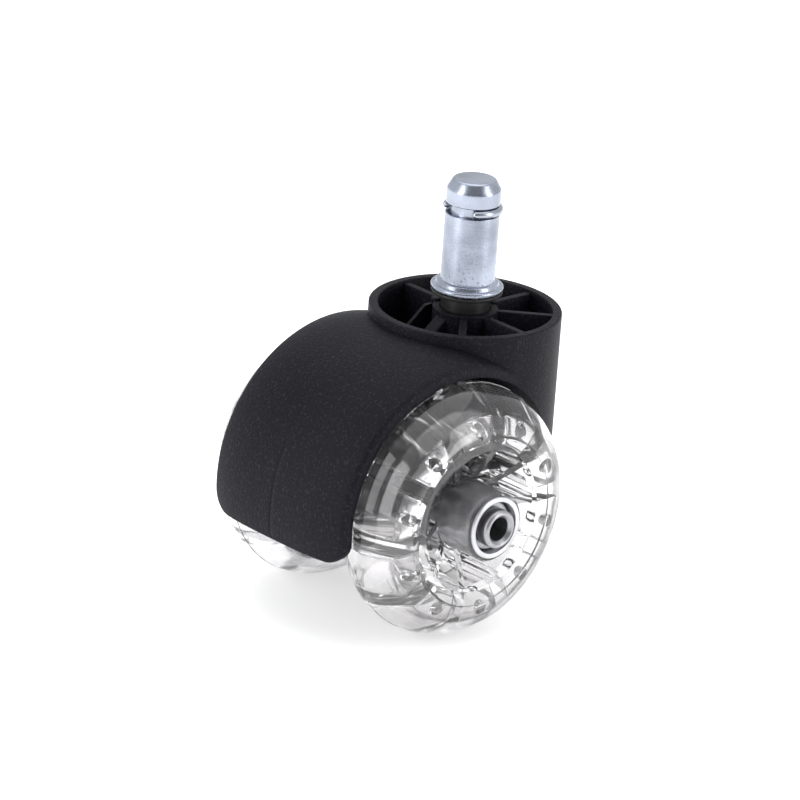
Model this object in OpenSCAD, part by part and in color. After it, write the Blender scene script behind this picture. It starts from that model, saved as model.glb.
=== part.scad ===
// Twin-wheel chair caster with a plug-in stem.
// Origin: centre of the collar's flat top, on the swivel axis. +Z is up, along the stem.
// The hood's nose points to -X. Seen from the nose, the right wheel is at -Y.

/* [Stem] */
// Diameter of the plug-in stem
stem_d = 11; // [10:0.5:11.5]
// Length of the stem above the collar
stem_len = 22; // [21:1:30]
// Diameter of the collar under the stem
collar_d = 14.6; // [14:0.1:15.5]
// Thickness of the collar
collar_t = 1.2; // [1:0.1:1.3]
// Diameter of the journal that turns inside the housing
journal_d = 7.8; // [7.4:0.1:8]
// Wire diameter of the grip ring
grip_wire = 1.3; // [1.1:0.1:1.3]
// Gap between the ends of the grip ring, in degrees
grip_gap = 90; // [30:5:110]

/* [Housing] */
// Height of the collar's top face above the floor
seat_h = 64.4; // [64:0.2:66]
// Distance from the swivel axis back to the axle
trail = 17.6; // [17:0.1:18.2]
// Outer diameter of the round cup under the collar
cup_d = 38.9; // [38.5:0.1:39.1]
// Drop from the collar's top face to the cup's rim
rim_drop = 4.9; // [4.7:0.1:5.2]
// Height of the cup, from its rim to the end of its rear skirt
cup_h = 26; // [25:0.5:27]
// Thickness of the moulded walls
wall = 1.9; // [1.7:0.1:2]
// Radius of the hood at its middle
hood_r = 31.5; // [31.3:0.1:31.7]
// Drop of the hood's surface from its middle to its edges
hood_crown = 2.2; // [2:0.1:2.3]
// How far the nose ends below the axle
nose_drop = 6.4; // [5:0.2:8]
// Thickness of the ribs in the cup
rib_t = 1.5; // [1.2:0.1:1.8]

/* [Wheels] */
// Diameter over the tread
wheel_d = 52; // [51.6:0.1:52.2]
// Number of ribs in each wheel
wheel_ribs = 10; // [8:1:12]
// Angle of the first wheel rib
rib_phase = 6; // [0:1:35]
// Thickness of a rib between the hub and the dish wall
dish_rib_t = 1.6; // [1.2:0.1:2]
// Thickness of a rib between the dish wall and the rim
vane_t = 3; // [2:0.2:3.4]

/* [Axle] */
// Outer diameter of the tubular axle
axle_d = 6.4; // [6:0.1:6.6]
// Bore of the tubular axle
axle_bore = 4.8; // [4.4:0.1:5]
// Length of the axle over its rolled ends
axle_len = 65.8; // [65.6:0.1:66.2]
// Radial running gap between the axle and a wheel bush
run_gap = 0.05; // [0.03:0.01:0.08]

/* [Hidden] */
fine = 128;
small = 64;
over = 1;                                  // overshoot of a cutting body
fit_gap = 0.02;                            // gap round parts that sit in each other

// Stem, measured up from the collar's top face
stem_r = stem_d / 2;
tip_r = stem_r - 1.5;
ring_start = 226;                          // where the grip ring's wire begins
tip_z = stem_len - 2.4;                    // where the rounded tip begins
groove_top = tip_z - 2.6;
groove_h = 2.1;
groove_r = stem_r - 1.15;
collar_r = collar_d / 2;
collar_edge = 0.4;

// Swivel stack, measured down from the collar's top face
washer_t = 0.8;
washer_z = -collar_t - washer_t;
stack_gap = 0.1;                           // running gap under the thrust washer
upper_bush_top = washer_z - stack_gap;
journal_r = journal_d / 2;
bush_wall = 1.1;
bush_r = journal_r + bush_wall;
boss_r = 6.6;
boss_z = -rim_drop - 0.1;
upper_bush_end = -17;
ring_room = 1.6;                           // height of the space that the retaining ring turns in
ring_play = 0.3;                           // room above, below and round the retaining ring
lower_bush_top = upper_bush_end - ring_room;
lower_bush_end = -25;
boss_end = -27;
journal_end = lower_bush_end + 0.6;
ring_groove_r = journal_r - 0.8;

// Housing
cup_r = cup_d / 2;
rim_z = -rim_drop;
skirt_z = rim_z - cup_h;
floor_t = 2;
cup_bite = 0.2;                            // how far the wheels' room runs into the cup's outside
rib_drop = 0.5;                            // rib tops below the rim
rib_angles = [0, 45, 90, -45, -90, -135];
axle_z = -seat_h + wheel_d / 2;
half_w = cup_r - 0.08;                     // the hood's side faces run into the cup's round
edge_round = 1.2;
hood_wall = 2.3;
web_half = 3;                              // half thickness of the web between the wheels
well_r = 27.1;                             // room for the wheels under the cup
axle_boss_r = 8.4;
axle_boss_y = 6.4;
nose_round = 4.5;
nose_z = axle_z - nose_drop;
lug_r = 1.1;                               // two small lugs on top of the boss
lug_h = 4.4;
lug_z = boss_z - 4;
lug_angles = [110, -11];

// Wheels: [radius, distance from the mid-plane]
tread_r = wheel_d / 2;
tread_s = 18.2;
shoulder_w = 9.85;
shoulder_d = 8.6;
land_r = tread_r - shoulder_d;
land_s = tread_s + shoulder_w;
lip_r = 14.5;
lip_s = land_s - 0.6;
dish_wall = 1.3;
core_back = 10.9;                          // inner face of the rim
web_back = 10.2;
web_t = 1.8;
band_r = 22.6;
band_t = 1.8;
foot_r = 20.4;                             // where the joint line starts, on the rim's inner face
joint_corner_s = core_back + 2.1;
joint_depth = shoulder_w - 1.5;
back_r = 17.4;                             // the tyre's inner shoulder, as an ellipse
back_s = 10.6;
face_t = 1.9;                              // thickness of the wall behind the joint line at the front
pocket_top = lip_s - 3.2;
hub_back = web_back - 0.6;
hub_taper = 0.4;
hub_r = 7.1;
hub_front = 30.9;
sleeve_r = 6.4;
sleeve_bore = 5.25;
sleeve_s = [9.6, 31.5];
bush_s = [8.5, 29.2];
washer_s = [29.2, 29.8];
end_washer_r = 4.9;
spacer_s = [axle_boss_y, 8.4];
spacer_r = 5.2;
rib_h = 17;
bite = 0.3;                                // how far a rib runs into the walls at its ends
rib_front = lip_s - 1;                     // the ribs' front edges slope from here to the hub
rib_hub_s = 22;
hole_r = 1.25;
hole_ring_r = 19;

// Axle
axle_r = axle_d / 2;
head_r = axle_r + 0.75;
head_s = 30;
press_gap = 0.01;

function arc(cx, cy, rx, ry, a0, a1, n) = [for (i = [0:n]) let (a = a0 + (a1 - a0) * i / n)
    [cx + rx * cos(a), cy + ry * sin(a)]];

// Radius of the hood's outer surface at a distance from the mid-plane
function crown(y) = hood_r - hood_crown * pow(abs(y) / half_w, 3.5);

module tube(r_out, r_in, z0, z1) {
    rotate_extrude($fn = fine) translate([r_in, z0]) square([r_out - r_in, z1 - z0]);
}

// Lays a shape made round Z on the axle, with its top to the right
module on_axle() {
    translate([-trail, 0, axle_z]) rotate([90, 0, 0]) children();
}

module left_side() {
    mirror([0, 1, 0]) on_axle() children();
}

// ---- Stem group ----

module stem() {
    color("lightsteelblue") rotate_extrude($fn = fine) polygon(concat(
        [[0, journal_end], [journal_r - collar_edge, journal_end], [journal_r, journal_end + collar_edge],
        [journal_r, lower_bush_top + ring_play], [ring_groove_r, lower_bush_top + ring_play],
        [ring_groove_r, upper_bush_end - ring_play], [journal_r, upper_bush_end - ring_play],
        [journal_r, -collar_t], [collar_r - collar_edge, -collar_t], [collar_r, collar_edge - collar_t],
        [collar_r, -collar_edge], [collar_r - collar_edge, 0], [stem_r, 0],
        [stem_r, groove_top - groove_h], [groove_r, groove_top - groove_h],
        [groove_r, groove_top], [stem_r, groove_top], [stem_r, tip_z]],
        arc(tip_r, tip_z, stem_r - tip_r, stem_len - tip_z, 15, 75, 4),
        [[tip_r, stem_len], [0, stem_len]]));
}

module grip_ring() {
    color("silver") translate([0, 0, groove_top - groove_h / 2]) rotate([0, 0, ring_start])
        rotate_extrude(angle = 360 - grip_gap, $fn = fine)
            translate([groove_r + grip_wire / 2, 0]) circle(d = grip_wire - 2 * fit_gap, $fn = small);
}

module thrust_washer() {
    color("black") tube(collar_r - 0.1, journal_r, washer_z, -collar_t);
}

module retaining_ring() {
    color("silver") rotate([0, 0, 20]) rotate_extrude(angle = 320, $fn = fine)
        translate([ring_groove_r, lower_bush_top + ring_play])
            square([bush_r - ring_play - ring_groove_r, ring_room - 2 * ring_play]);
}

// ---- Housing group ----

// Outline of the hood's outside, with a round along both edges
module drum_outline() {
    n = 12;
    side = half_w - edge_round;
    centre_r = crown(side) - edge_round;
    polygon(concat([[0, -half_w], [centre_r, -half_w]],
        arc(centre_r, -side, edge_round, edge_round, -60, -30, 1),
        [for (i = [-n:n]) [crown(side * i / n), side * i / n]],
        arc(centre_r, side, edge_round, edge_round, 30, 60, 1),
        [[centre_r, half_w], [0, half_w]]));
}

module drum() {
    on_axle() rotate_extrude($fn = fine) drum_outline();
}

// Room for the wheels: it follows the hood's crown, and is lower under the cup
module wheel_room() {
    n = 8;
    w = half_w + over;
    end_r = crown(half_w) - hood_wall;
    difference() {
        on_axle() rotate_extrude($fn = fine) polygon(concat([[0, -w], [end_r, -w]],
            [for (i = [-n:n]) [crown(half_w * i / n) - hood_wall, half_w * i / n]], [[end_r, w], [0, w]]));
        translate([0, 0, -seat_h]) cylinder(r = cup_r - cup_bite, h = seat_h, $fn = fine);
    }
    on_axle() cylinder(r = well_r, h = 2 * w, center = true, $fn = fine);
}

// The hood's nose ends in a straight edge with rounded corners
module nose_outline() {
    corner_y = half_w - nose_round;
    translate([-half_w - over, nose_z + nose_round]) square([2 * (half_w + over), hood_r + cup_d]);
    translate([-corner_y, nose_z]) square([2 * corner_y, nose_round + over]);
    for (s = [-1, 1]) translate([s * corner_y, nose_z + nose_round]) circle(nose_round, $fn = small);
}

module hood() {
    intersection() {
        drum();
        union() {
            translate([-trail - hood_r - over, 0, 0]) rotate([90, 0, 90])
                linear_extrude(trail + hood_r + over) nose_outline();
            translate([0, 0, skirt_z]) cylinder(r = cup_r, h = cup_h + over, $fn = fine);
        }
    }
}

// Outline of the web between the wheels, in [X, Z]
module web_outline() {
    back_x = cup_r - wall;
    polygon([[-trail - hood_r, nose_z], [-trail, nose_z - 3], [-trail + axle_boss_r, nose_z - 2],
        [back_x, skirt_z + 0.01], [back_x, rim_z - cup_h / 2], [-trail, rim_z - 5],
        [-trail - hood_r, axle_z + 4]]);
}

module web() {
    intersection() {
        rotate([90, 0, 0]) linear_extrude(2 * web_half, center = true) web_outline();
        on_axle() cylinder(r = hood_r - hood_wall + 0.5, h = 4 * web_half, center = true, $fn = fine);
    }
    on_axle() cylinder(r = axle_boss_r, h = 2 * axle_boss_y, center = true, $fn = fine);
}

module cup() {
    translate([0, 0, skirt_z]) cylinder(r = cup_r, h = cup_h, $fn = fine);
}

// Sloping gusset from the boss towards the nose, at a distance to the side
module gusset(y, t) {
    translate([0, y, 0]) rotate([90, 0, 0]) linear_extrude(t, center = true)
        polygon([[0, skirt_z], [-cup_r, skirt_z], [-cup_r, boss_z - 7], [-boss_r - 6, boss_z - 6],
            [-boss_r + 1, boss_z], [0, boss_z]]);
}

module cup_ribs() {
    intersection() {
        translate([0, 0, skirt_z]) cylinder(r = cup_r - wall / 2, h = cup_h - rib_drop, $fn = fine);
        union() {
            for (a = rib_angles) rotate([0, 0, a]) translate([boss_r - 1, -rib_t / 2, skirt_z])
                cube([cup_r, rib_t, cup_h]);
            gusset(0, 2 * rib_t);
            gusset(boss_r - rib_t / 2, rib_t / 2);
        }
    }
}

module boss() {
    translate([0, 0, boss_end]) cylinder(r = boss_r, h = boss_z - boss_end, $fn = fine);
    for (a = lug_angles) rotate([0, 0, a]) translate([boss_r, 0, lug_z])
        cylinder(r = lug_r, h = lug_h, $fn = small);
}

// Space inside the cup, above the shell over the wheels and the skirt's floor
module cup_room() {
    difference() {
        translate([0, 0, skirt_z + floor_t]) cylinder(r = cup_r - wall, h = cup_h, $fn = fine);
        on_axle() cylinder(r = well_r + wall, h = 4 * half_w, center = true, $fn = fine);
    }
}

module shell() {
    difference() {
        union() {
            hood();
            cup();
        }
        cup_room();
        wheel_room();
    }
}

// The boss and ribs reach down between the wheels, but not into their room
module core_frame() {
    difference() {
        union() {
            cup_ribs();
            boss();
        }
        on_axle() difference() {
            cylinder(r = well_r + wall / 2, h = 4 * half_w, center = true, $fn = fine);
            cylinder(r = hood_r, h = 2 * boss_r + 0.4, center = true, $fn = fine);
        }
    }
}

module housing() {
    color([0.09, 0.09, 0.1]) difference() {
        union() {
            shell();
            web();
            core_frame();
        }
        translate([0, 0, lower_bush_end]) cylinder(r = bush_r, h = seat_h, $fn = fine);
        on_axle() cylinder(r = axle_r + press_gap, h = 4 * half_w, center = true, $fn = fine);
    }
}

module upper_stem_bush() {
    color("dimgray") tube(bush_r, journal_r + run_gap, upper_bush_end, upper_bush_top);
}

module lower_stem_bush() {
    color("dimgray") tube(bush_r, journal_r + run_gap, lower_bush_end, lower_bush_top);
}

// One rolled end of the axle, from the tube's outside round to its bore
function rolled_end(e, b) = [[axle_r, head_s], [head_r - 0.2, head_s], [head_r, head_s + 0.3],
    [head_r, e - 0.8], [head_r - 0.25, e - 0.25], [head_r - 0.7, e], [b + 0.4, e], [b, e - 0.6]];

module axle() {
    end = rolled_end(axle_len / 2, axle_bore / 2);
    color("silver") on_axle() rotate_extrude($fn = fine) polygon(concat(end,
        [for (p = reversed(end)) [p[0], -p[1]]]));
}

module spacer() {
    color("white") tube(spacer_r, axle_r + press_gap, spacer_s[0], spacer_s[1]);
}

module right_spacer() {
    on_axle() spacer();
}

module left_spacer() {
    left_side() spacer();
}

// ---- Wheel parts, shared by both sides ----

// Joint line between the hard core and the soft tyre, from the inner foot to the front land
function joint_line() = concat([[foot_r, core_back], [band_r, joint_corner_s]],
    arc(land_r, tread_s, band_r - land_r, joint_depth, 0, 90, 8));

function reversed(points) = [for (i = [len(points) - 1:-1:0]) points[i]];

module tyre() {
    color([0.93, 0.95, 0.97]) rotate_extrude($fn = fine) polygon(concat(
        arc(tread_r - back_r, tread_s, back_r, back_s, -44, -4, 5),
        arc(land_r, tread_s, shoulder_d, shoulder_w, 0, 90, 12),
        reversed(joint_line())));
}

module core_body() {
    rotate_extrude($fn = fine) polygon(concat(joint_line(), [[land_r, land_s], [lip_r, lip_s],
        [lip_r, web_back + web_t], [hub_r + hub_taper, web_back + web_t], [hub_r, hub_front],
        [sleeve_r, hub_front], [sleeve_r, hub_back], [hub_r + hub_taper, hub_back],
        [hub_r + hub_taper, web_back], [lip_r + dish_wall, web_back], [lip_r + dish_wall, pocket_top]],
        arc(land_r, tread_s, band_r - land_r - band_t, joint_depth - face_t, 80, 0, 6),
        [[band_r - band_t, joint_corner_s], [foot_r - 1.4, core_back]]));
}

module core_ribs() {
    for (i = [0:wheel_ribs - 1]) rotate([0, 0, rib_phase + i * 360 / wheel_ribs]) {
        translate([hub_r - bite, -dish_rib_t / 2, web_back])
            cube([lip_r - hub_r + 2 * bite, dish_rib_t, rib_h]);
        translate([lip_r + bite, -vane_t / 2, web_back]) cube([band_r - lip_r - band_t, vane_t, rib_h]);
    }
}

module wheel_core() {
    color([0.9, 0.93, 0.96]) difference() {
        union() {
            core_body();
            intersection() {
                core_ribs();
                rotate_extrude($fn = fine) polygon(concat([[sleeve_r + bite, web_back], [land_r, web_back]],
                    joint_line(), [[land_r, rib_front], [lip_r + bite, rib_front],
                    [sleeve_r + bite, rib_hub_s]]));
            }
        }
        for (i = [0:wheel_ribs - 1]) rotate([0, 0, rib_phase + (i + 0.5) * 360 / wheel_ribs])
            translate([hole_ring_r, 0, tread_s]) cylinder(r = hole_r, h = shoulder_w, $fn = small);
    }
}

module hub_sleeve() {
    color("lightsteelblue") tube(sleeve_r, sleeve_bore, sleeve_s[0], sleeve_s[1]);
}

module axle_bush() {
    color("dimgray") tube(sleeve_bore, axle_r + run_gap, bush_s[0], bush_s[1]);
}

module end_washer() {
    color("silver") tube(end_washer_r, axle_r + run_gap, washer_s[0], washer_s[1]);
}

module right_wheel_core() {
    on_axle() wheel_core();
}

module left_wheel_core() {
    left_side() wheel_core();
}

module right_tyre() {
    on_axle() tyre();
}

module left_tyre() {
    left_side() tyre();
}

module right_hub_sleeve() {
    on_axle() hub_sleeve();
}

module left_hub_sleeve() {
    left_side() hub_sleeve();
}

module right_axle_bush() {
    on_axle() axle_bush();
}

module left_axle_bush() {
    left_side() axle_bush();
}

module right_end_washer() {
    on_axle() end_washer();
}

module left_end_washer() {
    left_side() end_washer();
}

stem();
grip_ring();
thrust_washer();
retaining_ring();
housing();
upper_stem_bush();
lower_stem_bush();
axle();
right_spacer();
left_spacer();
right_wheel_core();
left_wheel_core();
right_tyre();
left_tyre();
right_hub_sleeve();
left_hub_sleeve();
right_axle_bush();
left_axle_bush();
right_end_washer();
left_end_washer();
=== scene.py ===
import math

import bmesh
import bpy
from mathutils import Matrix, Vector


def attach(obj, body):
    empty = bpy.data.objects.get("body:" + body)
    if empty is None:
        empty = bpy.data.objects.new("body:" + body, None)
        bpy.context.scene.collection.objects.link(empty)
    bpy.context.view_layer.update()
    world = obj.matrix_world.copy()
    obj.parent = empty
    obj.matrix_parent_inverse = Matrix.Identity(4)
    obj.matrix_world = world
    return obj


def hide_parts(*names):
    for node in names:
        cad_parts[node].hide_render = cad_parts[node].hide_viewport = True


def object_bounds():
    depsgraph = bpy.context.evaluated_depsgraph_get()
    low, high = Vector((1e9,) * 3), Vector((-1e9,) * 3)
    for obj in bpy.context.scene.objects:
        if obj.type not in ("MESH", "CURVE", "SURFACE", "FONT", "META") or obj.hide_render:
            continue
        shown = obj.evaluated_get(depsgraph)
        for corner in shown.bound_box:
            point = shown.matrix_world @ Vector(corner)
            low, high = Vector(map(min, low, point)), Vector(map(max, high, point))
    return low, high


# A twin-wheel chair caster, laid out in the order in which it is put together: stem, washer,
# bushes, housing, axle, then the wheels. The origin is the middle of the collar's top face.
# Sizes are in millimetres, and each finished piece is brought to metres as its last step.
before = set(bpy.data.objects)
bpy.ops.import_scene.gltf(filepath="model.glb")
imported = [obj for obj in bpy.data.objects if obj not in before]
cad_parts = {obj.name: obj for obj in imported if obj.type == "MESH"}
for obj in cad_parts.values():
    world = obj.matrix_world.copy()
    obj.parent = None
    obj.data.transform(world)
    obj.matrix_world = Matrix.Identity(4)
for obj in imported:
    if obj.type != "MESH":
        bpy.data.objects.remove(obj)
cad_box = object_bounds()

# ---------------------------------------------------------------------------------------------
# Studio. A plain pale floor, lit a little from within so that shadows stay faint, in a white room
# that is darker on the camera's side. One large soft box hangs overhead and one stands on each
# side. The camera looks at the nose and the right wheel.
# ---------------------------------------------------------------------------------------------
VIEW_AZIMUTH = math.radians(-43.54)
VIEW_HEIGHT = math.radians(20.4)
VIEW_ROLL = math.radians(4.13)
VIEW_DISTANCE = 1.0945
VIEW_AIM = Vector((-0.00999, 0.00648, -0.02526))
LENS = 244.8
SENSOR = 36
FLOOR_HALF = 6.0
FLOOR_GLOW = 0.5
ROOM_WHITE = 0.86
ROOM_DARK = 0.30

to_camera = Vector((math.sin(VIEW_AZIMUTH) * math.cos(VIEW_HEIGHT),
                    -math.cos(VIEW_AZIMUTH) * math.cos(VIEW_HEIGHT),
                    math.sin(VIEW_HEIGHT)))
across = Vector((math.cos(VIEW_AZIMUTH), math.sin(VIEW_AZIMUTH), 0))
upright = to_camera.cross(across)
view_right = math.cos(VIEW_ROLL) * across + math.sin(VIEW_ROLL) * upright
view_up = math.cos(VIEW_ROLL) * upright - math.sin(VIEW_ROLL) * across
camera_data = bpy.data.cameras.new("camera")
camera_data.lens = LENS
camera_data.sensor_width = SENSOR
camera_data.clip_start = 0.05
camera = bpy.data.objects.new("camera", camera_data)
camera.matrix_world = (Matrix.Translation(VIEW_AIM + VIEW_DISTANCE * to_camera)
                       @ Matrix((view_right, view_up, to_camera)).transposed().to_4x4())
bpy.context.scene.collection.objects.link(camera)
bpy.context.scene.camera = camera
bpy.context.scene.view_settings.view_transform = "Standard"


def soft_box(name, place, width, height, watts):
    data = bpy.data.lights.new(name, "AREA")
    data.shape = "RECTANGLE"
    data.size = width
    data.size_y = height
    data.energy = watts
    lamp = bpy.data.objects.new(name, data)
    lamp.location = place
    lamp.rotation_euler = (-Vector(place)).to_track_quat("-Z", "Y").to_euler()
    bpy.context.scene.collection.objects.link(lamp)


soft_box("overhead_box", (0.1, 0.2, 1.5), 1.8, 1.8, 11)
soft_box("left_box", (-1.1, 0.25, 0.35), 0.5, 1.2, 6)
soft_box("right_box", (0.5, -1.05, 0.35), 0.5, 1.2, 6)


class Signal:
    """One output socket. Arithmetic on it adds Math nodes to its tree."""

    def __init__(self, tree, socket):
        self.tree = tree
        self.socket = socket

    def maths(self, operation, *values):
        return self.tree.add("ShaderNodeMath", {"operation": operation}, dict(enumerate(values)))

    def __add__(self, other):
        return self.maths("ADD", self, other)

    def __sub__(self, other):
        return self.maths("SUBTRACT", self, other)

    def __rsub__(self, other):
        return self.maths("SUBTRACT", other, self)

    def __mul__(self, other):
        return self.maths("MULTIPLY", self, other)

    def __truediv__(self, other):
        return self.maths("DIVIDE", self, other)

    def __rtruediv__(self, other):
        return self.maths("DIVIDE", other, self)

    def __pow__(self, other):
        return self.maths("POWER", self, other)

    __radd__ = __add__
    __rmul__ = __mul__


class Tree:
    """A node tree that is built with one method: a node's type, its settings, then its sockets."""

    def __init__(self, tree):
        self.nodes = tree.nodes
        self.links = tree.links

    def add(self, kind, settings=None, inputs=None, out=0):
        node = self.nodes.new(kind)
        for key, value in (settings or {}).items():
            setattr(node, key, value)
        for key, value in (inputs or {}).items():
            for one in value if isinstance(value, list) else [value]:
                if isinstance(one, Signal):
                    self.links.new(one.socket, node.inputs[key])
                else:
                    node.inputs[key].default_value = one
        return Signal(self, node.outputs[out]) if len(node.outputs) else None


class Finish(Tree):
    """A material. Constants go straight on the shader, and what varies comes in through feed."""

    def __init__(self, name, **constants):
        self.material = bpy.data.materials.new(name)
        self.material.use_nodes = True
        super().__init__(self.material.node_tree)
        self.shader = self.nodes["Principled BSDF"]
        for socket, value in constants.items():
            self.shader.inputs[socket.replace("_", " ")].default_value = value

    def place(self, stretch=(1, 1, 1)):
        spot = self.add("ShaderNodeTexCoord", out="Object")
        return self.add("ShaderNodeMapping", {}, {"Vector": spot, "Scale": stretch})

    def noise(self, scale, detail=2.0, stretch=(1, 1, 1)):
        return self.add("ShaderNodeTexNoise", {},
                        {"Vector": self.place(stretch), "Scale": scale, "Detail": detail})

    def cells(self, scale):
        return self.add("ShaderNodeTexVoronoi", {}, {"Vector": self.place(), "Scale": scale}, "Distance")

    def ramp(self, value, low, high):
        return self.add("ShaderNodeMapRange", {"clamp": True}, {0: value, 1: low, 2: high})

    def mix(self, factor, first, second):
        return self.add("ShaderNodeMix", {"data_type": "RGBA"}, {0: factor, 6: first, 7: second}, 2)

    def bump(self, height, strength, depth):
        return self.add("ShaderNodeBump", {}, {"Height": height, "Strength": strength, "Distance": depth})

    def feed(self, **signals):
        for socket, signal in signals.items():
            self.links.new(signal.socket, self.shader.inputs[socket.replace("_", " ")])
        return self.material


def grey(level, blue=1.0):
    return (level, level, level * blue, 1)


room = bpy.data.worlds.new("room")
room.use_nodes = True
room_tree = Tree(room.node_tree)
direction = room_tree.add("ShaderNodeTexCoord", out="Generated")
facing = room_tree.add("ShaderNodeVectorMath", {"operation": "DOT_PRODUCT"},
                       {0: direction, 1: to_camera}, "Value")
level = room_tree.add("ShaderNodeMapRange", {"interpolation_type": "SMOOTHSTEP"},
                      {0: facing, 1: 0.25, 2: 0.88, 3: ROOM_WHITE, 4: ROOM_DARK})
room_tree.links.new(level.socket, room_tree.nodes["Background"].inputs["Strength"])
room_tree.nodes["Background"].inputs["Color"].default_value = (0.97, 0.98, 1, 1)
bpy.context.scene.world = room

floor_z = cad_box[0][2]
floor_mesh = bpy.data.meshes.new("studio_floor")
floor_corners = [(x * FLOOR_HALF, y * FLOOR_HALF, floor_z) for x, y in ((-1, -1), (1, -1), (1, 1), (-1, 1))]
floor_mesh.from_pydata(floor_corners, [], [(0, 1, 2, 3)])
floor_finish = Finish("studio_floor", Roughness=0.7, Emission_Color=grey(1), Emission_Strength=FLOOR_GLOW)
floor_pale = floor_finish.mix(floor_finish.noise(3.0), grey(0.94), grey(0.96))
floor_mesh.materials.append(floor_finish.feed(Base_Color=floor_pale))
studio_floor = bpy.data.objects.new("studio_floor", floor_mesh)
bpy.context.scene.collection.objects.link(studio_floor)

# ---------------------------------------------------------------------------------------------
# Stem. Turned from 11 mm steel bar with a round tip, a groove for the grip ring, a flat collar and
# a journal that turns in the housing. Zinc plated, bright and bluish, frosted low on the shank.
# ---------------------------------------------------------------------------------------------
MM = 0.001
STEM_R = 5.5
STEM_TIP = 22.0
TIP_Z = 20.0
GROOVE_TOP = 17.0
GROOVE_LOW = 14.9
GROOVE_R = 4.35
COLLAR_R = 7.3
COLLAR_T = 1.2
JOURNAL_R = 3.9
JOURNAL_END = -24.4
KEEPER_R = 3.1
KEEPER_LOW = -18.3
KEEPER_TOP = -17.3


def eased(corners, steps=5):
    """Rounds the corners of a closed outline. A corner is (radius, height), or (radius, height, round)."""
    points = []
    for i, corner in enumerate(corners):
        here = Vector(corner[:2])
        if len(corner) == 2:
            points.append(here)
            continue
        back = (Vector(corners[i - 1][:2]) - here).normalized()
        ahead = (Vector(corners[(i + 1) % len(corners)][:2]) - here).normalized()
        half = back.angle(ahead) / 2
        centre = here + (back + ahead).normalized() * corner[2] / math.sin(half)
        first = here + back * corner[2] / math.tan(half) - centre
        sweep = first.angle_signed(here + ahead * corner[2] / math.tan(half) - centre)
        points += [centre + Matrix.Rotation(-sweep * k / steps, 2) @ first for k in range(steps + 1)]
    return points


def as_mesh(work):
    bmesh.ops.recalc_face_normals(work, faces=work.faces)
    if work.calc_volume(signed=True) < 0:
        bmesh.ops.reverse_faces(work, faces=work.faces)
    mesh = bpy.data.meshes.new("shape")
    work.to_mesh(mesh)
    work.free()
    return mesh


def lathe(outline, turns=160):
    """A closed solid of revolution about Z, from a closed outline of (radius, height)."""
    work = bmesh.new()
    rings = []
    spokes = [(math.cos(math.tau * k / turns), math.sin(math.tau * k / turns)) for k in range(turns)]
    for radius, height in outline:
        if radius < 1e-6:
            rings.append([work.verts.new((0, 0, height))] * turns)
        else:
            rings.append([work.verts.new((radius * x, radius * y, height)) for x, y in spokes])
    for ring, nearby in zip(rings, rings[1:] + rings[:1]):
        for k in range(turns):
            corners = dict.fromkeys((ring[k - 1], ring[k], nearby[k], nearby[k - 1]))
            if len(corners) > 2:
                work.faces.new(corners)
    return as_mesh(work)


def new_object(name, mesh):
    made = bpy.data.objects.new(name, mesh)
    bpy.context.scene.collection.objects.link(made)
    return made


def new_piece(name, mesh, material, crease=35):
    """Brings a mesh to metres, smooths it up to a crease angle and gives it its material."""
    mesh.name = name
    mesh.transform(Matrix.Scale(MM, 4))
    mesh.materials.clear()
    mesh.materials.append(material)
    mesh.polygons.foreach_set("use_smooth", [True] * len(mesh.polygons))
    mesh.set_sharp_from_angle(angle=math.radians(crease))
    mesh.update()
    return new_object(name, mesh)


def zinc_plate(name, tint, rough, lines=0.3, frost=None, dull=0.7):
    """Bright zinc on turned steel: fine turning lines, a cloudy tint and small dull specks.

    The specks fade out between the two heights of frost, which are in millimetres.
    """
    finish = Finish(name, Metallic=1.0, IOR=1.5)
    cloud = finish.noise(110.0, 3.0)
    turning = finish.noise(500.0, 3.0, (0.12, 0.12, 8.0))
    speck = finish.ramp(finish.noise(1500.0, 2.0), 0.58, 0.70)
    if frost:
        spot = finish.add("ShaderNodeTexCoord", out="Object")
        height = finish.add("ShaderNodeSeparateXYZ", {}, {0: spot}, "Z")
        speck = speck * (0.15 + finish.ramp(height, frost[1] * MM, frost[0] * MM))
    bright = finish.mix(finish.ramp(cloud, 0.35, 0.65), (*[0.62 * c for c in tint], 1), (*tint, 1))
    return finish.feed(Base_Color=finish.mix(speck * dull, bright, (0.30, 0.33, 0.40, 1)),
                       Roughness=rough + turning * 0.08 + speck * 0.25,
                       Normal=finish.bump(turning - speck * 0.5, lines, 0.00006))


stem_outline = eased([
    (0, JOURNAL_END), (JOURNAL_R, JOURNAL_END, 0.4),
    (JOURNAL_R, KEEPER_LOW), (KEEPER_R, KEEPER_LOW), (KEEPER_R, KEEPER_TOP), (JOURNAL_R, KEEPER_TOP),
    (JOURNAL_R, -COLLAR_T), (COLLAR_R, -COLLAR_T, 0.35), (COLLAR_R, 0, 0.45),
    (6.5, 0, 0.1), (6.2, 0.75, 0.3), (STEM_R, 0.95, 0.2),
    (STEM_R, GROOVE_LOW, 0.15), (GROOVE_R, GROOVE_LOW, 0.15),
    (GROOVE_R, GROOVE_TOP, 0.15), (STEM_R, GROOVE_TOP, 0.2),
    (STEM_R, TIP_Z, 1.2), (4.3, STEM_TIP, 0.8), (0, STEM_TIP)])
bright_zinc = zinc_plate("bright_zinc", (0.44, 0.48, 0.57), 0.22, frost=(1, 12))
stem = new_piece("stem_turned", lathe(stem_outline, 192), bright_zinc)
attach(stem, "mounting_stem")
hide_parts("stem")

# ---------------------------------------------------------------------------------------------
# Grip ring. A C of round spring wire in the stem's groove, sprung open so that it bears on the
# socket. Its two ends are cropped and slightly domed.
# ---------------------------------------------------------------------------------------------
WIRE_R = 0.84
RING_BEND = 5.25
RING_START = math.radians(226)
RING_SWEEP = math.radians(270)


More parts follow.
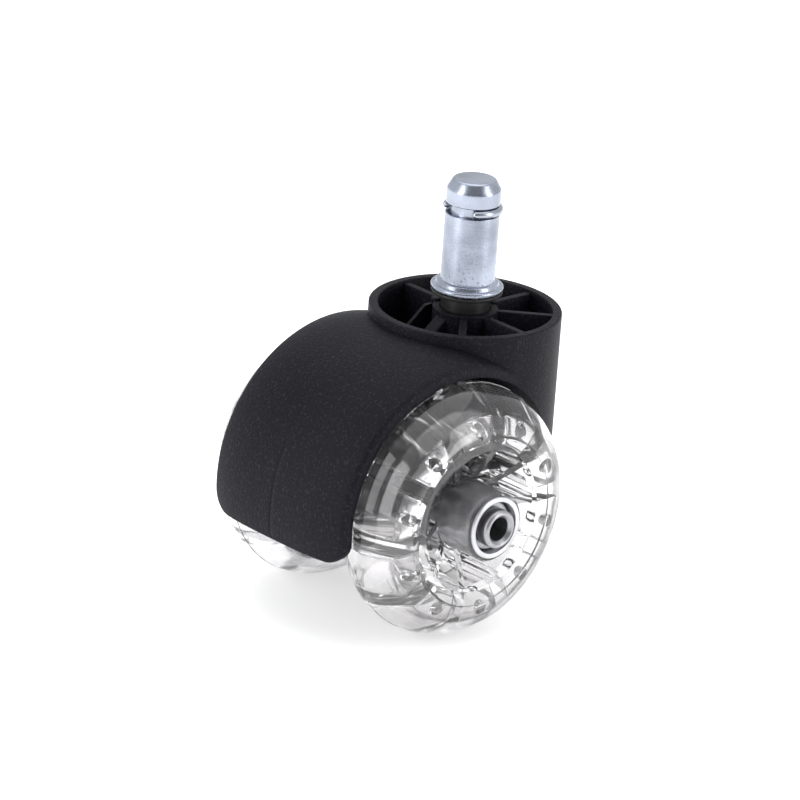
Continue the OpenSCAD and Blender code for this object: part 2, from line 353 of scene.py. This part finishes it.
class Build(Tree):
    """A Geometry Nodes tree with named inputs, which ends in Realize Instances and Set Material."""

    def __init__(self, name, **inputs):
        group = bpy.data.node_groups.new(name, "GeometryNodeTree")
        sockets = {key.replace("_", " "): kind for key, kind in inputs.items()}
        self.sockets = {}
        for key, kind in sockets.items():
            made = group.interface.new_socket(key, in_out="INPUT", socket_type="NodeSocket" + kind)
            self.sockets[key] = made.identifier
        group.interface.new_socket("Result", in_out="OUTPUT", socket_type="NodeSocketGeometry")
        super().__init__(group)
        self.group = group
        source = self.nodes.new("NodeGroupInput")
        self.given = {key: Signal(self, source.outputs[key]) for key in sockets}

    def close(self, solid, material):
        real = self.add("GeometryNodeRealizeInstances", {}, {0: solid})
        painted = self.add("GeometryNodeSetMaterial", {}, {"Geometry": real, "Material": material})
        self.add("NodeGroupOutput", {}, {0: painted})

    def run(self, blank, **values):
        """Evaluates the tree on a blank mesh, and returns the result as a plain mesh."""
        holder = new_object("blank", blank)
        step = holder.modifiers.new("build", "NODES")
        step.node_group = self.group
        for key, value in values.items():
            step[self.sockets[key.replace("_", " ")]] = value
        made = bpy.data.meshes.new_from_object(holder.evaluated_get(bpy.context.evaluated_depsgraph_get()))
        bpy.data.objects.remove(holder)
        return made


def bent_wire(material):
    """A round wire along an arc, with domed ends."""
    build = Build("bent_wire", Bend_radius="Float", Wire_radius="Float", Start="Float", Sweep="Float")
    arc = build.add("GeometryNodeCurveArc", {"mode": "RADIUS"}, {
        "Resolution": 200, "Radius": build.given["Bend radius"], "Start Angle": build.given["Start"],
        "Sweep Angle": build.given["Sweep"]})
    along = build.add("GeometryNodeSplineParameter", out="Length")
    whole = build.add("GeometryNodeSplineLength", out="Length")
    wire = build.given["Wire radius"]
    to_end = along.maths("MINIMUM", along, whole - along) / wire
    rise = 1 - to_end.maths("MINIMUM", to_end, 1.0)
    dome = (1 - rise * rise).maths("SQRT", 1.0001 - rise * rise)
    circle = build.add("GeometryNodeCurvePrimitiveCircle", {"mode": "RADIUS"},
                       {"Resolution": 20, "Radius": 1.0})
    solid = build.add("GeometryNodeCurveToMesh", {}, {
        "Curve": arc, "Profile Curve": circle, "Fill Caps": True, "Scale": wire * (0.12 + dome * 0.88)})
    build.close(solid, material)
    return build


spring_wire = zinc_plate("spring_wire", (0.47, 0.51, 0.58), 0.2, 0.1)
ring_mesh = bent_wire(spring_wire).run(bpy.data.meshes.new("wire"), Bend_radius=RING_BEND,
                                       Wire_radius=WIRE_R, Start=RING_START, Sweep=RING_SWEEP)
ring_mesh.transform(Matrix.Translation((0, 0, (GROOVE_TOP + GROOVE_LOW) / 2)))
grip_ring = new_piece("grip_ring_sprung", ring_mesh, spring_wire, 60)
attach(grip_ring, "mounting_stem")
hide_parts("grip_ring")

# ---------------------------------------------------------------------------------------------
# Thrust washer and stem bushes. A black nylon washer lies under the collar. Two black acetal
# bushes are pressed into the boss, and a small steel ring between them keeps the stem in.
# ---------------------------------------------------------------------------------------------
WASHER_R = 7.2
WASHER_LOW = -2.0
BUSH_R = 5.0
BUSH_BORE = 3.95
BUSH_LOW = -17
BUSH_TOP = -2.1


def moulded(name, level, rough, grain, strength):
    """Plain moulded plastic with a fine even grain."""
    finish = Finish(name, IOR=1.5)
    cloud = finish.noise(60.0, 3.0)
    return finish.feed(Base_Color=finish.mix(cloud, grey(level), grey(level * 1.4)),
                       Roughness=rough + cloud * 0.15,
                       Normal=finish.bump(finish.noise(grain, 2.0), strength, 0.00006))


black_nylon = moulded("black_washer_nylon", 0.010, 0.35, 1400.0, 0.2)
acetal = moulded("black_acetal", 0.014, 0.25, 900.0, 0.12)
washer_outline = eased([(JOURNAL_R, WASHER_LOW), (WASHER_R, WASHER_LOW, 0.25),
                        (WASHER_R, -COLLAR_T, 0.15), (JOURNAL_R, -COLLAR_T)])
washer = new_piece("thrust_washer_moulded", lathe(washer_outline), black_nylon)
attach(washer, "mounting_stem")
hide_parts("thrust_washer")

bush_outline = eased([(BUSH_BORE, BUSH_LOW), (BUSH_R, BUSH_LOW), (BUSH_R, BUSH_TOP, 0.3),
                      (BUSH_BORE, BUSH_TOP, 0.15)])
upper_bush = new_piece("upper_stem_bush_moulded", lathe(bush_outline), acetal)
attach(upper_bush, "swivel_housing")
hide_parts("upper_stem_bush")

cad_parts["lower_stem_bush"].material_slots[0].material = acetal
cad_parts["retaining_ring"].material_slots[0].material = spring_wire

# ---------------------------------------------------------------------------------------------
# Housing. One injection moulding in matt black nylon: a crowned hood round the axle that ends in a
# nose, a round cup under the collar with the stem's boss and its ribs, and a web for the axle.
# ---------------------------------------------------------------------------------------------
TRAIL = 17.6
AXLE_Z = -38.4
CUP_R = 19.45
CUP_WALL = 1.9
RIM_Z = -4.9
SKIRT_Z = -30.9
HOOD_R = 31.5
HOOD_DROP = 2.2
HOOD_HALF = 19.37
HOOD_WALL = 2.3
WELL_R = 27.1
NOSE_DROP = 6.4
NOSE_ROUND = 4.5
SIDE_ROUND = 1.1
LIP_ROUND = 0.3
HOOD_BACK = math.radians(57)
PARTING_HALF = 0.13
PARTING_DEPTH = 0.07
PARTING_START = 0.8
PARTING_END = 27
PARTING_FADE = 8
WEB_HALF = 3.0
BOSS_R = 6.6
BOSS_Z = -5.0
RIB_T = 1.5
LUG_R = 1.1
FINE = 256


def on_axle(mesh, side=-1):
    """Lays a mesh made round Z on the axle, with its top to the right (-1), or mirrored (1)."""
    mesh.transform(Matrix.Translation((-TRAIL, 0, AXLE_Z)) @ Matrix.Rotation(math.pi / 2, 4, "X"))
    if side > 0:
        mesh.transform(Matrix.Scale(-1, 4, (0, 1, 0)))
        mesh.flip_normals()
    return mesh


def drum(radius, half):
    return on_axle(lathe([(0, -half), (radius, -half), (radius, half), (0, half)], FINE))


def carve(base, *cutters, operation="DIFFERENCE"):
    """Applies exact booleans one after another, merging the slivers that they leave."""
    for cutter in cutters:
        host = new_object("host", base)
        tool = new_object("tool", cutter)
        step = host.modifiers.new("carve", "BOOLEAN")
        step.operation = operation
        step.solver = "EXACT"
        step.object = tool
        base = bpy.data.meshes.new_from_object(host.evaluated_get(bpy.context.evaluated_depsgraph_get()))
        bpy.data.objects.remove(host)
        bpy.data.objects.remove(tool)
        work = bmesh.new()
        work.from_mesh(base)
        bmesh.ops.remove_doubles(work, verts=work.verts, dist=0.002)
        bmesh.ops.dissolve_degenerate(work, edges=work.edges, dist=0.002)
        work.to_mesh(base)
        work.free()
    return base


def prism(outline, half, turn=0, shift=0, ease=0.0):
    """An outline of (x, z) made solid across Y, moved aside, and turned about the swivel axis."""
    work = bmesh.new()
    near = [work.verts.new((x, shift - half, z)) for x, z in outline]
    far = [work.verts.new((x, shift + half, z)) for x, z in outline]
    for i in range(len(outline)):
        work.faces.new((near[i - 1], near[i], far[i], far[i - 1]))
    work.faces.new(near)
    work.faces.new(far)
    if ease:
        bmesh.ops.recalc_face_normals(work, faces=work.faces)
        bmesh.ops.bevel(work, geom=work.edges, offset=ease, segments=2, affect="EDGES", profile=0.5)
    work.transform(Matrix.Rotation(math.radians(turn), 4, "Z"))
    return as_mesh(work)


def crown(y):
    return HOOD_R - HOOD_DROP * (abs(y) / HOOD_HALF) ** 3.5


def edge_fall(inset, radius):
    """How far a rounded edge has fallen, at a distance in from the edge."""
    return radius - math.sqrt(radius ** 2 - max(0.0, radius - inset) ** 2)


def hood_sheet():
    """The hood as a thick sheet round the axle, from the nose's lip up and over into the cup."""
    low = math.pi + math.asin(NOSE_DROP / HOOD_R)
    whole = (low - HOOD_BACK) * HOOD_R
    near_edge = [0, 0.1, 0.25, 0.5, 0.8, 1.15, 2.0]
    rows = near_edge + [3.0, 4.0] + [5 + (whole - 5) * k / 64 for k in range(65)]
    columns = near_edge + [2.0 + (HOOD_HALF - 2.0) * k / 14 for k in range(1, 15)]
    work = bmesh.new()
    outside, inside = [], []
    for u in rows:
        dip = max(0.0, NOSE_ROUND - u)
        half = HOOD_HALF - NOSE_ROUND + math.sqrt(NOSE_ROUND ** 2 - dip ** 2)
        spots = [side * (half - inset * half / HOOD_HALF) for side in (1, -1) for inset in columns[:-1]]
        spots = sorted(spots + [-PARTING_HALF, 0.0, PARTING_HALF])
        outer_row, inner_row = [], []
        for y in spots:
            corner = max(0.0, abs(y) - HOOD_HALF + NOSE_ROUND)
            inset = min(u, HOOD_HALF - abs(y))
            if dip and corner:
                inset = NOSE_ROUND - math.hypot(dip, corner)
            inset = max(inset, 0.0)
            side_share = min(1.0, corner / NOSE_ROUND)
            round_here = LIP_ROUND + (SIDE_ROUND - LIP_ROUND) * side_share
            level_angle = math.pi + math.asin(NOSE_DROP / crown(y))
            angle = low - u / HOOD_R + (level_angle - low) * max(0.0, 1 - u / 20)
            parted = y == 0 and u > PARTING_START
            groove = PARTING_DEPTH * min(1.0, max(0.0, (PARTING_END - u) / PARTING_FADE)) if parted else 0.0
            outer_radius = crown(y) - edge_fall(inset, round_here) - groove
            inner_radius = crown(y) - HOOD_WALL + edge_fall(inset, LIP_ROUND)
            for row, radius in ((outer_row, outer_radius), (inner_row, inner_radius)):
                place = (radius * math.cos(angle) - TRAIL, y, radius * math.sin(angle) + AXLE_Z)
                row.append(work.verts.new(place))
        outside.append(outer_row)
        inside.append(inner_row)
    last = len(outside[0]) - 1
    for i in range(len(rows) - 1):
        for grid in (outside, inside):
            for j in range(last):
                work.faces.new((grid[i][j], grid[i][j + 1], grid[i + 1][j + 1], grid[i + 1][j]))
        for j in (0, last):
            work.faces.new((outside[i][j], outside[i + 1][j], inside[i + 1][j], inside[i][j]))
    for i in (0, len(rows) - 1):
        for j in range(last):
            work.faces.new((outside[i][j], outside[i][j + 1], inside[i][j + 1], inside[i][j]))
    return as_mesh(work)


def round_copies(name, tool, material, operation):
    """Turns even copies of a tool round Z, and joins them to the blank or cuts them from it."""
    build = Build(name, Blank="Geometry", Copies="Int", First_turn="Float", Step="Float")
    shape = build.add("GeometryNodeObjectInfo", {}, {"Object": tool}, "Geometry")
    spots = build.add("GeometryNodeMeshLine", {"mode": "OFFSET"},
                      {"Count": build.given["Copies"], "Offset": (0, 0, 0)})
    turn = build.add("GeometryNodeInputIndex") * build.given["Step"] + build.given["First turn"]
    spin = build.add("ShaderNodeCombineXYZ", {}, {"Z": turn})
    copies = build.add("GeometryNodeInstanceOnPoints", {},
                       {"Points": spots, "Instance": shape, "Rotation": spin})
    solid = build.add("GeometryNodeRealizeInstances", {}, {0: copies})
    sockets = {"Mesh 2": [build.given["Blank"], solid]} if operation == "UNION" else {
        "Mesh 1": build.given["Blank"], "Mesh 2": solid}
    build.close(build.add("GeometryNodeMeshBoolean", {"operation": operation, "solver": "EXACT"},
                          {**sockets, "Self Intersection": True}), material)
    return build


def pebbled_nylon():
    """Matt black nylon from a spark-eroded mould: fine round pebbles, a dry bloom, and painted glints
    (painted highlights) on the pebble tops.
    """
    finish = Finish("matt_black_nylon", IOR=1.5, Specular_IOR_Level=0.11)
    pebble = finish.noise(1900.0, 2.0)
    cloud = finish.noise(45.0, 3.0)
    dark = (0.0055, 0.0054, 0.0085, 1)
    bloom = (0.0090, 0.0087, 0.0135, 1)
    # Painted highlight: a lighter colour that stands in for small glints on the pebbles.
    pebble_glint = (0.030, 0.030, 0.037, 1)
    colour = finish.mix(finish.ramp(cloud, 0.25, 0.75), dark, bloom)
    # Painted highlights: the pebble tops are mixed toward the glint colour.
    colour = finish.mix(finish.ramp(pebble, 0.55, 0.72) * 0.7, colour, pebble_glint)
    relief = pebble + (1 - finish.cells(1700.0)) * 0.5 + finish.noise(4200.0) * 0.2
    return finish.feed(Base_Color=colour, Roughness=0.44 + cloud * 0.14,
                       Normal=finish.bump(relief, 0.6, 0.00014))


nylon = pebbled_nylon()
cup_blank = lathe(eased([(0, SKIRT_Z), (CUP_R, SKIRT_Z, 0.5), (CUP_R, RIM_Z, 0.3), (0, RIM_Z)]), FINE)
cup_in = CUP_R - CUP_WALL
cup_room = lathe([(0, SKIRT_Z + 2), (cup_in, SKIRT_Z + 2), (cup_in, RIM_Z - 0.3),
                  (cup_in + 0.1, RIM_Z - 0.1), (cup_in + 0.4, RIM_Z + 0.1), (cup_in + 0.4, 0), (0, 0)], FINE)
cup_room = carve(cup_room, drum(WELL_R + CUP_WALL, 30))
shell = carve(carve(hood_sheet(), cup_blank, operation="UNION"), cup_room, drum(WELL_R, 23))

web_outline = [(-TRAIL - HOOD_R, AXLE_Z - NOSE_DROP), (-TRAIL, AXLE_Z - NOSE_DROP - 3),
               (-9.2, AXLE_Z - NOSE_DROP - 2), (cup_in, SKIRT_Z + 0.01), (cup_in, RIM_Z - 13),
               (-TRAIL, RIM_Z - 5), (-TRAIL - HOOD_R, AXLE_Z + 4)]
web = carve(prism(web_outline, WEB_HALF), drum(HOOD_R - HOOD_WALL + 0.5, 9), operation="INTERSECT")
axle_boss = on_axle(lathe(eased([(0, -6.4), (8.4, -6.4, 0.4), (8.4, 6.4, 0.4), (0, 6.4)]), 128))

rib_top = RIM_Z - 0.5
rib_outline = [(BOSS_R - 1, SKIRT_Z), (CUP_R, SKIRT_Z), (CUP_R, rib_top), (BOSS_R - 1, rib_top)]
rib = new_object("cup_rib", prism(rib_outline, RIB_T / 2, ease=0.2))
boss = lathe(eased([(0, -27), (BOSS_R, -27, 0.5), (BOSS_R, BOSS_Z, 0.3), (0, BOSS_Z)]), 128)
cup_ribs = round_copies("cup_ribs", rib, nylon, "UNION").run(
    boss, Copies=6, First_turn=math.radians(-135), Step=math.radians(45))
bpy.data.objects.remove(rib)
gusset = [(0, SKIRT_Z + 0.2), (-CUP_R, SKIRT_Z + 0.2), (-CUP_R, BOSS_Z - 7), (-BOSS_R - 6, BOSS_Z - 6),
          (1 - BOSS_R, rib_top - 0.05), (0, rib_top - 0.05)]
lugs = []
for turn in (110, -11):
    lug_outline = [(0, BOSS_Z - 4.1), (LUG_R, BOSS_Z - 4.1), (LUG_R, BOSS_Z + 0.4, 0.3), (0, BOSS_Z + 0.4)]
    lug = lathe(eased(lug_outline), 32)
    lug.transform(Matrix.Rotation(math.radians(turn), 4, "Z") @ Matrix.Translation((BOSS_R - 0.04, 0, 0)))
    lugs.append(lug)
core_frame = carve(cup_ribs, prism(gusset, RIB_T, ease=0.2), prism(gusset, RIB_T / 4, shift=BOSS_R - 0.7),
                   *lugs, operation="UNION")
cup_middle = CUP_R - CUP_WALL / 2
cup_inside = lathe([(0, SKIRT_Z + 0.5), (cup_middle, SKIRT_Z + 0.5), (cup_middle, 0), (0, 0)], FINE)
core_frame = carve(core_frame, cup_inside, operation="INTERSECT")
for side in (-1, 1):
    gap = [(BOSS_R, 6.83), (WELL_R + 0.95, 6.83), (WELL_R + 0.95, 24), (BOSS_R, 24)]
    core_frame = carve(core_frame, on_axle(lathe(gap, FINE), side))
housing_mesh = carve(shell, web, axle_boss, core_frame, operation="UNION")
stem_bore = lathe([(0, -25), (BUSH_R, -25), (BUSH_R, BOSS_Z - 0.3), (BUSH_R + 0.35, BOSS_Z + 0.05),
                   (BUSH_R + 0.35, 2), (0, 2)], 128)
housing_mesh = carve(housing_mesh, stem_bore, drum(3.21, 30))
housing = new_piece("housing_moulded", housing_mesh, nylon, 32)
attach(housing, "swivel_housing")
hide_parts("housing")

# ---------------------------------------------------------------------------------------------
# Axle. Drawn steel tube pressed through the web, its ends rolled over to keep the wheels on.
# A plain nylon spacer stands between the web's boss and each wheel.
# ---------------------------------------------------------------------------------------------
AXLE_R = 3.2
AXLE_BORE = 2.4
AXLE_END = 32.9
HEAD_R = 3.95
HEAD_S = 30.0

half_axle = [(AXLE_BORE, AXLE_END - 0.7, 0.5), (3.1, AXLE_END, 0.3), (HEAD_R, AXLE_END, 0.8),
             (HEAD_R, HEAD_S, 0.3), (AXLE_R, HEAD_S)]
axle_outline = eased(half_axle + [(corner[0], -corner[1], *corner[2:]) for corner in reversed(half_axle)])
axle_steel = zinc_plate("axle_steel", (0.47, 0.47, 0.49), 0.32, 0.25, dull=0.5)
axle = new_piece("axle_tube", on_axle(lathe(axle_outline, 128)), axle_steel)
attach(axle, "swivel_housing")
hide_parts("axle")

natural_nylon = moulded("natural_nylon", 0.45, 0.4, 1200.0, 0.2)
for name in ("right_spacer", "left_spacer"):
    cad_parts[name].material_slots[0].material = natural_nylon

# ---------------------------------------------------------------------------------------------
# Wheels. A hard clear core with a deep dish, thin ribs and open pockets behind the rim is moulded
# first, and a soft clear tyre is cast round it. A plated sleeve and a bush carry it on the axle.
# ---------------------------------------------------------------------------------------------
TREAD_R = 25.99
TREAD_S = 18.2
SHOULDER_W = 9.85
SHOULDER_D = 8.6
BACK_W = 10.6
BACK_D = 17.4
LAND_R = TREAD_R - SHOULDER_D
LIP_R = 14.5
LIP_S = TREAD_S + SHOULDER_W - 0.6
DISH_WALL = 1.3
CORE_BACK = 10.9
WEB_BACK = 10.2
WEB_T = 1.8
BAND_R = 22.6
BAND_T = 1.8
HUB_R = 7.1
HUB_FRONT = 30.9
SLEEVE_R = 6.4
WHEEL_RIBS = 10
RIB_PHASE = 6
VANE_T = 3.0
DISH_RIB_T = 1.6
HOLE_R = 1.25
HOLE_RING = 19.0
BOND = 0.1
SPLIT = 0.12


def joint_line(bite=0.0):
    """Where the tyre meets the core, from the rim's inner foot round to the front land."""
    points = [(20.4 - bite, CORE_BACK), (BAND_R - 0.3, CORE_BACK + 1.7), (BAND_R, CORE_BACK + 2.5)]
    for k in range(16):
        a = math.radians(6 * k)
        points.append((LAND_R + (BAND_R - LAND_R) * math.cos(a), TREAD_S + (SHOULDER_W - 1.5) * math.sin(a)))
    points[-1] = (LAND_R, TREAD_S + SHOULDER_W)
    points = [Vector(point) for point in points]
    centre = Vector((LAND_R, TREAD_S))
    return [p + (centre - p).normalized() * bite if p.y > CORE_BACK + 1e-6 else p for p in points]


def tyre_outline():
    back = [(TREAD_R - BACK_D * (1 - math.cos(a)), TREAD_S - BACK_W * math.sin(a))
            for a in map(math.radians, range(44, 2, -3))]
    front = [(LAND_R + SHOULDER_D * math.cos(a), TREAD_S + SHOULDER_W * math.sin(a))
             for a in map(math.radians, range(3, 91, 3))]
    tread = TREAD_R - SPLIT
    seam = [(tread, TREAD_S - SPLIT), (TREAD_R, TREAD_S - SPLIT / 3), (TREAD_R, TREAD_S + SPLIT / 3),
            (tread, TREAD_S + SPLIT)]
    back = [(min(r, tread), s) for r, s in back]
    front = [(min(r, tread), s) for r, s in front]
    return [*back, *seam, *front, *reversed(joint_line(BOND))]


def water_clear(name, tint, ior, clarity, haze):
    """Water-clear plastic, with the faint waviness of a moulded face."""
    finish = Finish(name, Transmission_Weight=clarity, IOR=ior)
    cloud = finish.noise(120.0)
    return finish.feed(Base_Color=finish.mix(cloud, (*[0.995 * c for c in tint], 1), (*tint, 1)),
                       Roughness=haze + cloud * 0.02,
                       Normal=finish.bump(finish.noise(160.0, 1.0), 0.015, 0.0003))


def pocket(radii, low, high, gap, ease, corner):
    """A wedge-shaped tool between two ribs, with rounded corners. It narrows at its closed end, high."""
    half = math.pi / WHEEL_RIBS
    work = bmesh.new()
    rings = []
    away = 1 if high > low else -1
    for height, shrink in ((low, 0), (high - away * ease, 0), (high - away * ease * 0.3, ease * 0.3),
                           (high, ease)):
        near, far = radii[0] + shrink, radii[1] - shrink
        limits = [half - math.asin((gap / 2 + shrink) / r) for r in (near, far)]
        ring = []
        for r, limit, sign in ((near, limits[0], 1), (far, limits[1], -1)):
            trim = corner / r
            for k in range(9):
                a = (limit - trim) * (k / 4 - 1) * sign
                ring.append((r * math.cos(a), r * math.sin(a)))
            end = r + corner * sign
            wide = half - math.asin((gap / 2 + shrink) / end)
            ring.append(((r + corner * 0.3 * sign) * math.cos((limit - trim * 0.3) * sign),
                         (r + corner * 0.3 * sign) * math.sin((limit - trim * 0.3) * sign)))
            ring.append((end * math.cos(wide * sign), end * math.sin(wide * sign)))
            other, other_sign = (far, -1) if sign > 0 else (near, 1)
            start = other + corner * other_sign
            wide = half - math.asin((gap / 2 + shrink) / start)
            ring.append((start * math.cos(wide * sign), start * math.sin(wide * sign)))
            limit_there = limits[1] if sign > 0 else limits[0]
            trim = corner / other
            ring.append(((other + corner * 0.3 * other_sign) * math.cos((limit_there - trim * 0.3) * sign),
                         (other + corner * 0.3 * other_sign) * math.sin((limit_there - trim * 0.3) * sign)))
        rings.append([work.verts.new((x, y, height)) for x, y in ring])
    for ring, nearby in zip(rings, rings[1:]):
        for k in range(len(ring)):
            work.faces.new((ring[k - 1], ring[k], nearby[k], nearby[k - 1]))
    work.faces.new(rings[0])
    work.faces.new(rings[-1])
    return as_mesh(work)


def joined(*meshes):
    work = bmesh.new()
    for mesh in meshes:
        work.from_mesh(mesh)
    mesh = bpy.data.meshes.new("tools")
    work.to_mesh(mesh)
    work.free()
    return mesh


clear_tyre = water_clear("clear_polyurethane", (0.992, 0.985, 0.988), 1.50, 0.982, 0.0)
clear_core = water_clear("clear_polycarbonate", (0.99, 0.984, 0.988), 1.53, 0.98, 0.055)
sleeve_steel = zinc_plate("sleeve_steel", (0.74, 0.74, 0.77), 0.34, 0.12, dull=0.2)

core_blank = lathe([
    *joint_line(), (LAND_R - 0.3, TREAD_S + SHOULDER_W), (LIP_R + 0.25, LIP_S + 0.02),
    (LIP_R, LIP_S - 0.3), (LIP_R - 0.1, LIP_S - 1),
    (HUB_R + 0.05, 22.2), (HUB_R, HUB_FRONT - 0.25), (HUB_R - 0.2, HUB_FRONT),
    (SLEEVE_R - BOND, HUB_FRONT), (SLEEVE_R - BOND, WEB_BACK - 0.6), (HUB_R + 0.4, WEB_BACK - 0.6),
    (HUB_R + 0.4, WEB_BACK), (LIP_R + DISH_WALL, WEB_BACK), (LIP_R + DISH_WALL + 0.5, CORE_BACK)], 240)
rim_pocket = pocket((LIP_R + DISH_WALL, BAND_R - BAND_T), 5, 24.4, VANE_T, 0.35, 0.5)
dish_pocket = pocket((HUB_R + 0.35, LIP_R - 0.05), 36, WEB_BACK + WEB_T, DISH_RIB_T, 0.3, 0.45)
hole = lathe([(0, 20), (HOLE_R, 20), (HOLE_R, 30), (0, 30)], 32)
hole.transform(Matrix.Translation((HOLE_RING, 0, 0)))
pocket_tools = new_object("pocket_tools", joined(rim_pocket, dish_pocket, hole))
step = math.tau / WHEEL_RIBS
core_mesh = round_copies("wheel_pockets", pocket_tools, clear_core, "DIFFERENCE").run(
    core_blank, Copies=WHEEL_RIBS, First_turn=math.radians(RIB_PHASE) + step / 2, Step=step)
bpy.data.objects.remove(pocket_tools)

sleeve_outline = eased([(5.25, 9.6), (6.4, 9.6, 0.1), (6.4, 31.5, 0.3), (5.3, 31.5, 0.25)])
axle_bush_outline = eased([(3.25, 8.5), (5.25, 8.5, 0.2), (5.25, 29.2, 0.1), (3.25, 29.2, 0.1)])
end_washer_outline = eased([(3.25, 29.2), (4.9, 29.2, 0.1), (4.9, 29.8, 0.15), (3.25, 29.8, 0.1)])
wheel_parts = (
    ("wheel_core", core_mesh, clear_core, "clear_core"),
    ("tyre", lathe(tyre_outline(), FINE), clear_tyre, "clear_tyre"),
    ("hub_sleeve", lathe(sleeve_outline, 128), sleeve_steel, "sleeve_steel"),
    ("axle_bush", lathe(axle_bush_outline, 96), acetal, "bush_acetal"),
    ("end_washer", lathe(end_washer_outline, 96), axle_steel, "axle_steel"))
for side_name, side in (("right", -1), ("left", 1)):
    for name, mesh, material, slot_name in wheel_parts:
        part = new_piece(f"{side_name}_{name}_finished", on_axle(mesh.copy(), side), material)
        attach(part, f"{side_name}_wheel")
        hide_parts(f"{side_name}_{name}")
